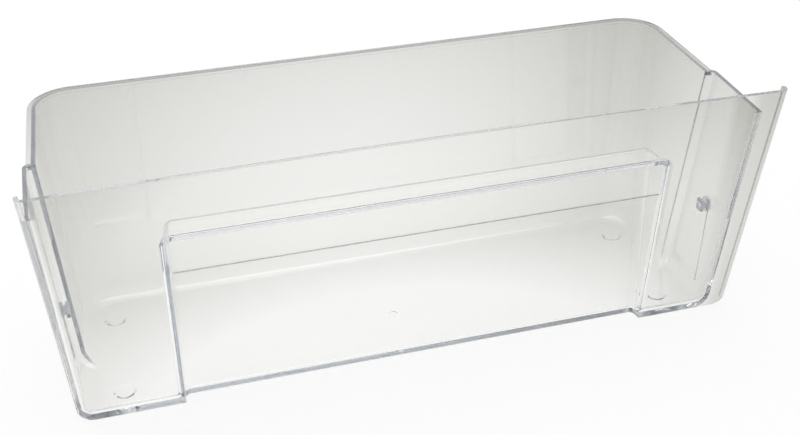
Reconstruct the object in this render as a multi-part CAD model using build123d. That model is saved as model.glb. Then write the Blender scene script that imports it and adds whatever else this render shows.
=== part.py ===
from build123d import *
import os
from math import radians, tan

# Front panel: leans outward, crowned top edge, edges curled back at the sides
panel_top_width = 472.0
panel_overhang = 9.6
panel_foot_margin = 0.9426
panel_height = 178.9
panel_crown = 2.5
panel_lean_deg = 6.83
panel_corner_radius = 12.0
curl_radius = 5.0
curl_depth = 7.0
trim_clearance = 0.3

# Moulded wall
wall = 2.5

# Tub: off centre behind the panel, wide at the front, stepped in behind that
tub_offset = -6.4
tub_width = panel_top_width - 2.0 * panel_overhang
tub_draft_deg = 2.6
rim_height = 165.0
step_width = 5.0
step_depth = 43.2
step_lean_deg = 6.2
tub_depth = 142.5
back_lean_deg = 3.2
rear_taper = 0.025
back_corner_radius = 25.0
floor_radius = 9.0
step_radius = 2.0
panel_joint_radius = 4.0

# Sliding rim of the rear part
rim_flange_width = 3.0
rim_flange_thickness = 3.0
rim_bead_height = 0.6

# Grip recess with its hanging lip
recess_width = 317.2
recess_depth = 8.0
recess_side_slope = 0.14
recess_radius = 3.5
shelf_height = 134.7
lip_drop = 24.1
lip_round = 0.8
foot_edge_round = 1.5

# Feet and the mark where the plastic was let in
foot_diameter = 15.0
foot_height = 0.8
foot_slope_width = 1.8
foot_inset = 29.5074
foot_front = 23.3
foot_back = 103.0
gate_diameter = 6.5
gate_depth = 0.6
gate_y = 53.6

# Divider stops inside the side walls, each on a raised strip
lug_width = 6.2
lug_length = 6.5
lug_height = 8.0
lug_level = 70.3
lug_y = 21.8
lug_notch_width = 1.8
lug_notch_depth = 2.4
strip_height = 0.9
strip_front = 18.5
strip_rear = 31.5

lean = tan(radians(panel_lean_deg))
tub_draft = tan(radians(tub_draft_deg))
tub_bottom_width = tub_width - 2.0 * tub_draft * rim_height
panel_bottom_width = tub_bottom_width + 2.0 * (abs(tub_offset) + panel_foot_margin)
foot_spacing_x = tub_bottom_width - 2.0 * foot_inset
step_lean = tan(radians(step_lean_deg))
back_lean = tan(radians(back_lean_deg))
headroom = panel_height + panel_crown + 10.0
side_draft = (panel_top_width - panel_bottom_width) / 2.0 / panel_height


def front_y(z):
    """Outer face of the leaning panel."""
    return -lean * z


def panel_half(z):
    """Half width of the panel."""
    return panel_bottom_width / 2.0 + side_draft * z


def step_y(z):
    """Rear face of the wide part of the tub, leaning like the panel."""
    return step_depth + wall + step_lean * (rim_height - z)


def back_y(z):
    """Outer face of the back wall."""
    return tub_depth - back_lean * (rim_height - z)


def wide_half(z):
    """Outer half width of the wide part of the tub."""
    return tub_width / 2.0 - tub_draft * (rim_height - z)


def rear_half(z, y):
    """Outer half width of the narrower rear part, closing a little towards the back."""
    return wide_half(z) - step_width - rear_taper * (y - step_depth)


def recess_half(z, y):
    """Half width of the grip recess, measured along its slanted side."""
    return recess_width / 2.0 - recess_side_slope * (y - front_y(z))


def behind_panel(shape):
    """Move a shape from the tub's middle plane to its place behind the panel."""
    return Pos(tub_offset, 0.0, 0.0) * shape


def outline(half, near, far, z):
    """Four level corners symmetric about the middle plane."""
    return [(-half[0], near, z), (half[0], near, z), (half[1], far, z), (-half[1], far, z)]


def drafted_block(low, high):
    """Solid with flat sides between two level outlines."""
    faces = [Face(Wire.make_polygon(low)), Face(Wire.make_polygon(high))]
    for i in range(len(low)):
        j = (i + 1) % len(low)
        faces.append(Face(Wire.make_polygon([low[i], low[j], high[j], high[i]])))
    return Solid(Shell(faces))


def upright_edges(solid, near_side):
    """The two rising edges at the front or at the back of a drafted block."""
    rising = [e for e in solid.edges() if abs(e.tangent_at(0.5).Z) > 0.8]
    rising.sort(key=lambda e: e.center().Y)
    return rising[:2] if near_side else rising[-2:]


def level_edges(solid, z):
    """Edges lying at one height."""
    return [e for e in solid.edges() if abs(e.center().Z - z) < 1e-4 and abs(e.tangent_at(0.5).Z) < 1e-4]


def wide_part(inset, skin, low, high):
    """Front part of the tub, drawn in from the outer faces by the inset."""
    def level(z):
        half = wide_half(z) - inset
        return outline((half, half), front_y(z) + skin, step_y(z) - inset, z)
    block = drafted_block(level(low), level(high))
    edges = [e for e in level_edges(block, low) if inset or e.center().Y > front_y(low) + skin + 1e-3]
    block = fillet(edges, floor_radius + wall - inset)
    if inset:
        block = fillet(upright_edges(block, True), panel_joint_radius)
    return fillet(upright_edges(block, False), step_radius + wall - inset)


def rear_part(inset, low, high):
    """Rear part of the tub, drawn in from the outer faces by the inset."""
    def level(z):
        near = step_y(z) - wall - step_depth / 3.0
        far = back_y(z) - inset
        return outline((rear_half(z, near) - inset, rear_half(z, far) - inset), near, far, z)
    block = drafted_block(level(low), level(high))
    block = fillet(upright_edges(block, False), back_corner_radius - inset)
    edges = [e for e in level_edges(block, low) if e.center().Y > level(low)[0][1] + 1e-3]
    return fillet(edges, floor_radius + wall - inset)


def panel_sheet():
    """Leaning front sheet with its side edges curled back and its outline trimmed."""
    def level(z, inset, depth):
        half = panel_half(z) - inset
        return outline((half, half), front_y(z) + inset, front_y(z) + depth, z)
    top = headroom
    sheet = drafted_block(level(0.0, 0.0, curl_depth), level(top, 0.0, curl_depth))
    sheet = fillet(upright_edges(sheet, True), curl_radius)
    hollow = drafted_block(level(-1.0, wall, curl_depth + 1.0), level(top + 1.0, wall, curl_depth + 1.0))
    hollow = fillet(upright_edges(hollow, True), curl_radius - wall)
    return (sheet - hollow) & panel_outline()


def panel_outline():
    """Front view of the panel as a deep block, clear of its sides: crowned top, rounded lower corners."""
    low_half = panel_half(0.0) + trim_clearance
    top_half = panel_half(panel_height) + trim_clearance
    left_low = (-low_half, 0.0)
    right_low = (low_half, 0.0)
    right_top = (top_half, panel_height)
    left_top = (-top_half, panel_height)
    sides = Polyline(left_top, left_low, right_low, right_top)
    crown = ThreePointArc(right_top, (0.0, panel_height + panel_crown), left_top)
    face = make_face(Plane.XZ * (sides + crown))
    face = fillet([v for v in face.vertices() if v.Z < 1.0], panel_corner_radius)
    return extrude(face, amount=tub_depth, both=True)


def grip_space(offset):
    """Open space of the grip recess, or the block that carries its walls."""
    def level(z):
        near = front_y(z) - 20.0
        far = recess_depth + offset
        halves = (recess_half(z, near) + offset, recess_half(z, far) + offset)
        return outline(halves, near, far, z)
    top = shelf_height + offset
    block = drafted_block(level(-20.0), level(top))
    edges = upright_edges(block, False) + [e for e in level_edges(block, top) if e.center().Y > front_y(top)]
    return fillet(edges, recess_radius + offset)


def grip_lip():
    """Strip of the front sheet left hanging over the recess."""
    def level(z):
        half = recess_width / 2.0 + 3.0
        return outline((half, half), front_y(z), front_y(z) + wall, z)
    return drafted_block(level(shelf_height - lip_drop), level(shelf_height + wall))


def rim_flange():
    """Level flange along the rim of the rear part."""
    def level(z):
        near = step_depth - step_radius
        far = tub_depth + rim_flange_width
        halves = [rear_half(rim_height, y) + rim_flange_width for y in (near, far)]
        return outline(halves, near, far, z)
    top = rim_height - rim_bead_height
    plate = drafted_block(level(top - rim_flange_thickness), level(top))
    return fillet(upright_edges(plate, False), back_corner_radius + rim_flange_width)


def feet():
    """Four round feet with sloped edges, standing proud of the underside."""
    pads = []
    for x in (-foot_spacing_x / 2.0, foot_spacing_x / 2.0):
        for y in (foot_front, foot_back):
            pad = Cone(foot_diameter / 2.0 - foot_slope_width, foot_diameter / 2.0, foot_height)
            pads.append(Pos(x, y, -foot_height / 2.0) * pad)
    return pads


def gate_mark():
    """Shallow round mark under the floor where the plastic was let in."""
    return Pos(0.0, gate_y, 0.0) * Cylinder(gate_diameter / 2.0, 2.0 * gate_depth)


def divider_stops():
    """Notched stop on the inside of each side wall, at the top of its raised strip."""
    middle = lug_level + lug_height / 2.0
    face = wide_half(middle) - wall
    reach = lug_width + wall / 2.0
    stops = []
    for side in (-1.0, 1.0):
        place = Pos(side * (face + wall / 2.0 - reach / 2.0), lug_y, middle)
        block = place * Box(reach, lug_length, lug_height)
        for level in (lug_level, lug_level + lug_height):
            notch = Box(lug_notch_width, 2.0 * lug_length, 2.0 * lug_notch_depth)
            block = block - Pos(side * (face - lug_width / 2.0), lug_y, level) * notch
        stops.append(block)
        stops.append(raised_strip(side))
    return stops


def raised_strip(side):
    """Low strip that rises along the inside of a side wall to its stop."""
    def level(z):
        near = side * (wide_half(z) - wall / 2.0)
        far = side * (wide_half(z) - wall - strip_height)
        rear = strip_rear + step_lean * (lug_level - z)
        return [(near, strip_front, z), (far, strip_front, z), (far, rear, z), (near, rear, z)]
    return drafted_block(level(floor_radius + wall), level(lug_level))


def step_corner_edges(shape, inset):
    """The two rising edges where the rear walls meet the faces of the step."""
    def at_corner(edge):
        middle = edge.center()
        off_x = abs(middle.X) - (rear_half(middle.Z, middle.Y) - inset)
        off_y = middle.Y - (step_y(middle.Z) - inset)
        return abs(edge.tangent_at(0.5).Z) > 0.8 and abs(off_x) < wall / 8.0 and abs(off_y) < wall / 8.0
    return [e for e in shape.edges() if at_corner(e)]


def tub_outside():
    """Everything within the outer faces, still solid."""
    shape = wide_part(0.0, wall / 2.0, 0.0, rim_height) + rear_part(0.0, 0.0, rim_height)
    shape = fillet(step_corner_edges(shape, 0.0), step_radius / 3.0)
    return behind_panel(shape + rim_flange()) + panel_sheet()


def tub_inside():
    """Space inside the tub, around the block that carries the grip recess."""
    shape = wide_part(wall, wall, wall, headroom) + rear_part(wall, wall, headroom)
    shape = fillet(step_corner_edges(shape, wall), step_radius)
    shape = behind_panel(shape) - grip_space(wall)
    reach = recess_depth + wall + recess_radius / 8.0
    block_foot = [
        e for e in level_edges(shape, wall)
        if e.center().Y < reach and abs(e.center().X) < recess_width / 2.0
    ]
    return fillet(block_foot, recess_radius)


def rounded_lip(shape):
    """Round the free edge of the hanging lip."""
    lip_line = level_edges(shape, shelf_height - lip_drop)
    lip_line = [e for e in lip_line if e.length > recess_width / 2.0]
    return fillet(lip_line, lip_round)


def rounded_foot(shape):
    """Round the lower front edges of the panel and the lower edge of the recess."""
    def at_foot(edge):
        middle = edge.center()
        beside_recess = abs(middle.Y) < 1e-3 and edge.length > panel_corner_radius
        in_recess = middle.Y < recess_depth + 1e-3 and abs(middle.X) < recess_width / 2.0
        return beside_recess or in_recess
    return fillet([e for e in level_edges(shape, 0.0) if at_foot(e)], foot_edge_round)


def drawer():
    """The whole moulding, stood on its feet and centred."""
    shape = tub_outside() - tub_inside() - (grip_space(0.0) - grip_lip())
    shape = rounded_foot(rounded_lip(shape))
    for detail in feet() + divider_stops():
        shape = shape + behind_panel(detail)
    shape = shape - behind_panel(gate_mark())
    box = shape.bounding_box()
    return Pos(0.0, -box.center().Y, -box.min.Z) * shape


os.makedirs("parts", exist_ok=True)
crisper_drawer = drawer()
export_step(crisper_drawer, "parts/crisper_drawer.step")
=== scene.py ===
import math

import bpy
from bpy.props import FloatProperty, FloatVectorProperty, PointerProperty
from mathutils import Matrix, Vector

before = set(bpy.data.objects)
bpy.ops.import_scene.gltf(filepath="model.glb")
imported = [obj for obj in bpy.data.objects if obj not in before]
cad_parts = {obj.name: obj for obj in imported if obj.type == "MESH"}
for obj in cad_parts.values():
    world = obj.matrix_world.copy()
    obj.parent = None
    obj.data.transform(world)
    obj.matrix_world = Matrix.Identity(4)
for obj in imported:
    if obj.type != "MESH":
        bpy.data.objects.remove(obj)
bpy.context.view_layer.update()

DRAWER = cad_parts["crisper_drawer"]

bl_info = {
    "name": "Fridge Crisper Drawer",
    "version": (1, 0, 0),
    "blender": (4, 5, 0),
    "location": "View3D > Sidebar > Crisper",
    "description": "Dresses a moulded clear crisper drawer and sets it on a pale stage",
    "category": "Object",
}

# The photograph's frame, in pixels, and the camera fitted to it, in metres and degrees
PHOTO_WIDTH = 800.0
PHOTO_HEIGHT = 435.0
FOCAL_PIXELS = 1226.6
AXIS_PIXEL = (420.0, 204.9)
CAMERA_PLACE = (-0.1798, -0.6842, 0.5298)
CAMERA_PITCH = 32.066
CAMERA_YAW = 16.023
CAMERA_ROLL = -0.2575
CAMERA_NEAREST = 0.01
SENSOR_MM = 36.0

MM = 0.001
WHITE = (1.0, 1.0, 1.0, 1.0)
UNIT = (0.0, 1.0)

# Sockets of a Mix node that is set to colours
MIX_FIRST = 6
MIX_SECOND = 7
MIX_RESULT = 2

# The masks below fade in between pairs of places, in metres: nought at the first, full at the second

# Painted shade: the plastic is tinted darker away from the grip, in a space a little stretched,
# standing in for the darker backdrop seen through the back and sides
SHADE_STRETCH = (0.78, 0.97, 1.01)
LEAST_SHADED_PLACE = (-0.017, -0.122, 0.06)
SHADE_REACH = (0.155, 0.32)

# Painted shade: the free right end of the panel is tinted a little darker still
PANEL_END = (0.208, 0.218)
PANEL_BACK = (-0.046, -0.056)
PANEL_END_SHADE = 0.26

# Middle plane of the tub, and the stop on one side wall, measured from that plane
TUB_MIDDLE = -0.0064
STOP_PLACE = (0.2167, -0.0401, 0.0751)
STOP_REACH = (0.0072, 0.0056)

# Painted shade: grey lines painted on narrow edges, standing in for the dark lines that refraction
# draws there: rim, foot of the lip, edge of the shelf, top of the panel
RIM_TOP = (0.1653, 0.1656)
RIM_FRONT = (-0.0735, -0.0725)
LIP_FOOT = (0.1122, 0.1118)
LIP_BACK = (-0.0705, -0.0715)
GRIP_END = (0.1575, 0.1565)
SHELF_TOP = (0.1366, 0.1370)
SHELF_NEAR = (-0.0578, -0.0574)
SHELF_FAR = (-0.0558, -0.0562)
SHELF_SHARE = 0.8
PANEL_TOP = (0.1815, 0.1818)
PANEL_TOP_SHARE = 0.35

# Fall of the panel's crowned top, in metres, one metre to either side of the middle
CROWN_FALL = 0.0448

# Moulded surface: faint waves, and patches that handling has dulled
POLYSTYRENE_IOR = 1.59
WAVE_DETAIL = 1.5
WAVE_ROUGHNESS = 0.4
WAVE_STRENGTH = 0.25
WAVE_HEIGHT = 0.4 * MM
HANDLING_SIZE_MM = 60.0
HANDLING_DETAIL = 5.0
HANDLING_ROUGHNESS = 0.62
HANDLED = (0.4, 0.75)

# Stage, in metres
FLOOR_REACH = 4.0
FLOOR_LEVEL = -0.4 * MM
SKY_LOW = 0.9
SKY_HIGH = 1.0
SOFTBOX_PLACE = (-0.2, 0.35, 1.6)
SOFTBOX_TARGET = (0.0, 0.0, 0.05)
SOFTBOX_SIZE = 1.5

# Light runs along inside the clear walls, so its paths are long
LIGHT_BOUNCES = 160


def linear(code):
    """Linear RGB of an sRGB hex colour."""
    channels = [int(code[i:i + 2], 16) / 255.0 for i in (1, 3, 5)]
    return tuple(c / 12.92 if c <= 0.04045 else ((c + 0.055) / 1.055) ** 2.4 for c in channels)


def opaque(colour):
    """RGB with full alpha."""
    return (*colour, 1.0)


def per_metre(size_mm):
    """Texture scale whose features are about that many millimetres across."""
    return 1.0 / (size_mm * MM)


def add_node(tree, kind, inputs=None, **settings):
    """Add a node, set its own settings, then fill its inputs with values or links."""
    node = tree.nodes.new(kind)
    for name, value in settings.items():
        setattr(node, name, value)
    for key, value in (inputs or {}).items():
        socket = node.inputs[key]
        if isinstance(value, bpy.types.NodeSocket):
            tree.links.new(value, socket)
        else:
            socket.default_value = value
    return node


def maths(tree, operation, *values, clamp=False):
    """Result of a sum on one, two or three numbers."""
    node = add_node(
        tree, "ShaderNodeMath", dict(enumerate(values)), operation=operation, use_clamp=clamp)
    return node.outputs["Value"]


def ramp(tree, value, limits, start=0.0, end=1.0):
    """From start at the first limit to end at the second, and level outside them."""
    node = add_node(tree, "ShaderNodeMapRange", {
        "Value": value, "From Min": limits[0], "From Max": limits[1],
        "To Min": start, "To Max": end})
    return node.outputs["Result"]


def blend(tree, share, first, second):
    """First colour where the share is nought, second where it is one."""
    node = add_node(
        tree, "ShaderNodeMix", {"Factor": share, MIX_FIRST: first, MIX_SECOND: second},
        data_type="RGBA")
    return node.outputs[MIX_RESULT]


def new_material(name):
    """An empty node material."""
    material = bpy.data.materials.new(name)
    material.use_nodes = True
    material.node_tree.nodes.clear()
    return material


class CrisperPlasticSettings(bpy.types.PropertyGroup):
    """The moulded plastic of the drawer."""

    # Painted shade: the tint runs from the first colour round the grip to the second away from it,
    # standing in for the darker backdrop seen through the walls
    unshaded_tint: FloatVectorProperty(
        name="Clear tint",
        description="Colour of light that has crossed the clearest stretch of wall",
        subtype="COLOR", size=3, min=0.0, max=1.0, default=linear("#FFFFFE"))
    # Painted shade colour, laid on the walls away from the grip
    shaded_tint: FloatVectorProperty(
        name="Smoky tint",
        description="Colour of light that has crossed a wall far from the grip",
        subtype="COLOR", size=3, min=0.0, max=1.0, default=linear("#AAAAA3"))
    stop_tint: FloatVectorProperty(
        name="Stop tint",
        description="Colour of light that has crossed the thick stops on the side walls",
        subtype="COLOR", size=3, min=0.0, max=1.0, default=linear("#B3B7BF"))
    # Painted shade: grey colour painted on the narrow edges, standing in for the dark lines that
    # refraction draws there
    painted_line_tint: FloatVectorProperty(
        name="Line tint",
        description="Colour of the narrow edges that look like grey lines",
        subtype="COLOR", size=3, min=0.0, max=1.0, default=linear("#989C9D"))
    # Painted shade: this share of the narrow edges lets no light through, to darken the painted
    # lines
    painted_line_opacity: FloatProperty(
        name="Line dullness",
        description="Share of the narrow edges that no light crosses",
        subtype="FACTOR", min=0.0, max=1.0, default=0.5)
    edge_colour: FloatVectorProperty(
        name="Edge colour",
        description="Colour left after a long path inside the plastic",
        subtype="COLOR", size=3, min=0.0, max=1.0, default=linear("#B4C0D2"))
    depth_density: FloatProperty(
        name="Depth density",
        description="How fast the plastic takes light along its length, per metre",
        min=0.0, default=1.6)
    polish: FloatProperty(
        name="Polish",
        description="Roughness of the best polished areas",
        subtype="FACTOR", min=0.0, max=1.0, default=0.02)
    haze: FloatProperty(
        name="Haze",
        description="Roughness of the duller, handled areas",
        subtype="FACTOR", min=0.0, max=1.0, default=0.07)
    flow_size: FloatProperty(
        name="Flow size",
        description="Width of the faint waves in the surface, in millimetres",
        min=1.0, default=38.0)


class CrisperStageSettings(bpy.types.PropertyGroup):
    """Floor and light around the drawer."""

    floor_colour: FloatVectorProperty(
        name="Floor",
        description="Colour of the paper floor",
        subtype="COLOR", size=3, min=0.0, max=1.0, default=linear("#F7F7F5"))
    floor_glow: FloatProperty(
        name="Floor glow",
        description="Share of the floor that is seen as plain white",
        subtype="FACTOR", min=0.0, max=1.0, default=0.88)
    room_light: FloatProperty(
        name="Room light",
        description="Strength of the light from all round",
        min=0.0, default=0.85)
    softbox_power: FloatProperty(
        name="Softbox",
        description="Power of the softbox overhead",
        subtype="POWER", unit="POWER", min=0.0, default=10.0)


def painted_shade_mask(tree, place, axes):
    """Painted shade: nought round the grip, one where the tint is darkest, away from it."""
    stretched = add_node(
        tree, "ShaderNodeVectorMath", {0: place, 1: SHADE_STRETCH}, operation="MULTIPLY")
    away = add_node(
        tree, "ShaderNodeVectorMath", {0: stretched.outputs["Vector"], 1: LEAST_SHADED_PLACE},
        operation="DISTANCE")
    # Painted shade: darker with distance from the grip
    painted_shade = ramp(tree, away.outputs["Value"], SHADE_REACH)
    panel_end = ramp(tree, axes["X"], PANEL_END, end=PANEL_END_SHADE)
    in_panel = ramp(tree, axes["Y"], PANEL_BACK)
    return maths(tree, "MULTIPLY_ADD", panel_end, in_panel, painted_shade, clamp=True)


def stop_mask(tree, axes):
    """One inside the two thick stops on the side walls, nought elsewhere."""
    either_side = maths(tree, "ABSOLUTE", maths(tree, "SUBTRACT", axes["X"], TUB_MIDDLE))
    folded = add_node(
        tree, "ShaderNodeCombineXYZ", {"X": either_side, "Y": axes["Y"], "Z": axes["Z"]})
    away = add_node(
        tree, "ShaderNodeVectorMath", {0: folded.outputs["Vector"], 1: STOP_PLACE},
        operation="DISTANCE")
    return ramp(tree, away.outputs["Value"], STOP_REACH)


def painted_line_mask(tree, axes):
    """Painted shade lines: one on the rim and the foot of the lip, less on the shelf and the panel,
    else nought.
    """
    x, y, z = (axes[name] for name in "XYZ")
    rim = maths(tree, "MULTIPLY", ramp(tree, z, RIM_TOP), ramp(tree, y, RIM_FRONT))
    lip = maths(tree, "MULTIPLY", ramp(tree, z, LIP_FOOT), ramp(tree, y, LIP_BACK))
    along_shelf = maths(tree, "MULTIPLY", ramp(tree, y, SHELF_NEAR), ramp(tree, y, SHELF_FAR))
    shelf = maths(tree, "MULTIPLY", ramp(tree, z, SHELF_TOP, end=SHELF_SHARE), along_shelf)
    across_grip = ramp(tree, maths(tree, "ABSOLUTE", x), GRIP_END)
    grip = maths(tree, "MULTIPLY", maths(tree, "MAXIMUM", lip, shelf), across_grip)
    uncrowned = maths(tree, "MULTIPLY_ADD", maths(tree, "MULTIPLY", x, x), CROWN_FALL, z)
    panel = ramp(tree, uncrowned, PANEL_TOP, end=PANEL_TOP_SHARE)
    return maths(tree, "MAXIMUM", maths(tree, "MAXIMUM", rim, grip), panel)


def clear_polystyrene(settings):
    """Moulded clear polystyrene: glossy, cool in its thick edges, with painted shade that darkens it
    away from the grip and painted grey lines on its narrow edges.
    """
    material = new_material("moulded_clear_polystyrene")
    tree = material.node_tree
    place = add_node(tree, "ShaderNodeTexCoord").outputs["Object"]
    axes = add_node(tree, "ShaderNodeSeparateXYZ", {"Vector": place}).outputs
    # Painted shade: the tint darkens away from the grip
    tint = blend(
        tree, painted_shade_mask(tree, place, axes),
        opaque(settings.unshaded_tint), opaque(settings.shaded_tint))
    tint = blend(tree, stop_mask(tree, axes), tint, opaque(settings.stop_tint))
    # Painted shade: grey lines on narrow edges, with less light let through them
    lines = painted_line_mask(tree, axes)
    tint = blend(tree, lines, tint, opaque(settings.painted_line_tint))
    crossing_off_painted_lines = ramp(tree, lines, UNIT, 1.0, 1.0 - settings.painted_line_opacity)
    handling = add_node(tree, "ShaderNodeTexNoise", {
        "Vector": place, "Scale": per_metre(HANDLING_SIZE_MM),
        "Detail": HANDLING_DETAIL, "Roughness": HANDLING_ROUGHNESS})
    roughness = ramp(tree, handling.outputs["Fac"], HANDLED, settings.polish, settings.haze)
    flow = add_node(tree, "ShaderNodeTexNoise", {
        "Vector": place, "Scale": per_metre(settings.flow_size),
        "Detail": WAVE_DETAIL, "Roughness": WAVE_ROUGHNESS})
    waves = add_node(tree, "ShaderNodeBump", {
        "Height": flow.outputs["Fac"], "Strength": WAVE_STRENGTH, "Distance": WAVE_HEIGHT})
    plastic = add_node(tree, "ShaderNodeBsdfPrincipled", {
        "Base Color": tint, "Roughness": roughness, "IOR": POLYSTYRENE_IOR,
        "Transmission Weight": crossing_off_painted_lines, "Normal": waves.outputs["Normal"]})
    depth = add_node(tree, "ShaderNodeVolumeAbsorption", {
        "Color": opaque(settings.edge_colour), "Density": settings.depth_density})
    add_node(tree, "ShaderNodeOutputMaterial", {
        "Surface": plastic.outputs["BSDF"], "Volume": depth.outputs["Volume"]})
    return material


def seen_directly(tree):
    """One for what is looked at, also through the plastic or mirrored in it, else nought."""
    paths = add_node(tree, "ShaderNodeLightPath").outputs
    looked_at = maths(tree, "MAXIMUM", paths["Is Camera Ray"], paths["Is Transmission Ray"])
    return maths(tree, "MAXIMUM", looked_at, paths["Is Glossy Ray"])


def paper_floor(settings):
    """Matt white paper that reads as plain white, but still takes the drawer's shadow."""
    material = new_material("matt_white_paper")
    tree = material.node_tree
    share = maths(tree, "MULTIPLY", seen_directly(tree), settings.floor_glow)
    paper = add_node(tree, "ShaderNodeBsdfDiffuse", {"Color": opaque(settings.floor_colour)})
    glow = add_node(tree, "ShaderNodeEmission", {"Color": WHITE, "Strength": 1.0})
    mixed = add_node(tree, "ShaderNodeMixShader", {
        "Fac": share, 1: paper.outputs["BSDF"], 2: glow.outputs["Emission"]})
    add_node(tree, "ShaderNodeOutputMaterial", {"Surface": mixed.outputs["Shader"]})
    return material


def studio_world(settings):
    """Soft room light, and the white sweep that shows round, through and in the drawer."""
    world = bpy.data.worlds.new("studio")
    world.use_nodes = True
    tree = world.node_tree
    tree.nodes.clear()
    place = add_node(tree, "ShaderNodeTexCoord").outputs["Generated"]
    axes = add_node(tree, "ShaderNodeSeparateXYZ", {"Vector": place}).outputs
    tone = ramp(tree, axes["Z"], UNIT, SKY_LOW, SKY_HIGH)
    room = add_node(tree, "ShaderNodeBackground", {"Color": tone, "Strength": settings.room_light})
    sweep = add_node(tree, "ShaderNodeBackground", {"Color": tone, "Strength": 1.0})
    mixed = add_node(tree, "ShaderNodeMixShader", {
        "Fac": seen_directly(tree), 1: room.outputs["Background"], 2: sweep.outputs["Background"]})
    add_node(tree, "ShaderNodeOutputWorld", {"Surface": mixed.outputs["Shader"]})
    bpy.context.scene.world = world


def overhead_softbox(power):
    """A square softbox above the drawer, aimed at it."""
    lamp = bpy.data.lights.new("overhead_softbox", "AREA")
    lamp.shape = "SQUARE"
    lamp.size = SOFTBOX_SIZE
    lamp.energy = power
    box = bpy.data.objects.new("overhead_softbox", lamp)
    box.location = SOFTBOX_PLACE
    aim = Vector(SOFTBOX_TARGET) - Vector(SOFTBOX_PLACE)
    box.rotation_euler = aim.to_track_quat("-Z", "Y").to_euler()
    bpy.context.scene.collection.objects.link(box)


def photo_camera():
    """Camera at the photograph's viewing angle."""
    lens = bpy.data.cameras.new("photo_camera")
    lens.sensor_fit = "HORIZONTAL"
    lens.sensor_width = SENSOR_MM
    lens.lens = FOCAL_PIXELS / PHOTO_WIDTH * SENSOR_MM
    lens.shift_x = (PHOTO_WIDTH / 2.0 - AXIS_PIXEL[0]) / PHOTO_WIDTH
    lens.shift_y = (AXIS_PIXEL[1] - PHOTO_HEIGHT / 2.0) / PHOTO_WIDTH
    lens.clip_start = CAMERA_NEAREST
    camera = bpy.data.objects.new("photo_camera", lens)
    tilt = Matrix.Rotation(math.radians(90.0 - CAMERA_PITCH), 4, "X")
    turn = Matrix.Rotation(math.radians(-CAMERA_YAW), 4, "Z")
    roll = Matrix.Rotation(math.radians(CAMERA_ROLL), 4, "Z")
    camera.matrix_world = Matrix.Translation(CAMERA_PLACE) @ turn @ tilt @ roll
    bpy.context.scene.collection.objects.link(camera)
    bpy.context.scene.camera = camera


class CRISPER_OT_dress_drawer(bpy.types.Operator):
    """Give the moulded drawer its clear plastic"""

    bl_idname = "crisper.dress_drawer"
    bl_label = "Dress Drawer"

    def execute(self, context):
        material = clear_polystyrene(context.scene.crisper_plastic)
        for slot in DRAWER.material_slots:
            slot.material = material
        return {"FINISHED"}


class CRISPER_OT_build_stage(bpy.types.Operator):
    """Lay the floor and set the light and the camera"""

    bl_idname = "crisper.build_stage"
    bl_label = "Build Stage"

    def execute(self, context):
        settings = context.scene.crisper_stage
        signs = ((-1, -1), (1, -1), (1, 1), (-1, 1))
        corners = [(x * FLOOR_REACH, y * FLOOR_REACH, FLOOR_LEVEL) for x, y in signs]
        mesh = bpy.data.meshes.new("paper_floor")
        mesh.from_pydata(corners, [], [(0, 1, 2, 3)])
        mesh.materials.append(paper_floor(settings))
        floor = bpy.data.objects.new("paper_floor", mesh)
        context.scene.collection.objects.link(floor)
        studio_world(settings)
        overhead_softbox(settings.softbox_power)
        photo_camera()
        context.scene.view_settings.view_transform = "Standard"
        cycles = context.scene.cycles
        cycles.max_bounces = LIGHT_BOUNCES
        cycles.transmission_bounces = LIGHT_BOUNCES
        cycles.glossy_bounces = LIGHT_BOUNCES
        return {"FINISHED"}


class CRISPER_PT_sidebar(bpy.types.Panel):
    """Drawer and stage in the sidebar"""

    bl_idname = "CRISPER_PT_sidebar"
    bl_label = "Crisper Drawer"
    bl_space_type = "VIEW_3D"
    bl_region_type = "UI"
    bl_category = "Crisper"

    def draw(self, context):
        layout = self.layout
        for group in (context.scene.crisper_plastic, context.scene.crisper_stage):
            column = layout.column()
            for name in group.__annotations__:
                column.prop(group, name)
        layout.operator(CRISPER_OT_dress_drawer.bl_idname)
        layout.operator(CRISPER_OT_build_stage.bl_idname)


CLASSES = (
    CrisperPlasticSettings,
    CrisperStageSettings,
    CRISPER_OT_dress_drawer,
    CRISPER_OT_build_stage,
    CRISPER_PT_sidebar,
)


def register():
    for cls in CLASSES:
        bpy.utils.register_class(cls)
    bpy.types.Scene.crisper_plastic = PointerProperty(type=CrisperPlasticSettings)
    bpy.types.Scene.crisper_stage = PointerProperty(type=CrisperStageSettings)


def unregister():
    del bpy.types.Scene.crisper_stage
    del bpy.types.Scene.crisper_plastic
    for cls in reversed(CLASSES):
        bpy.utils.unregister_class(cls)


def main():
    register()
    bpy.ops.crisper.dress_drawer()
    bpy.ops.crisper.build_stage()


if __name__ == "__main__":
    main()
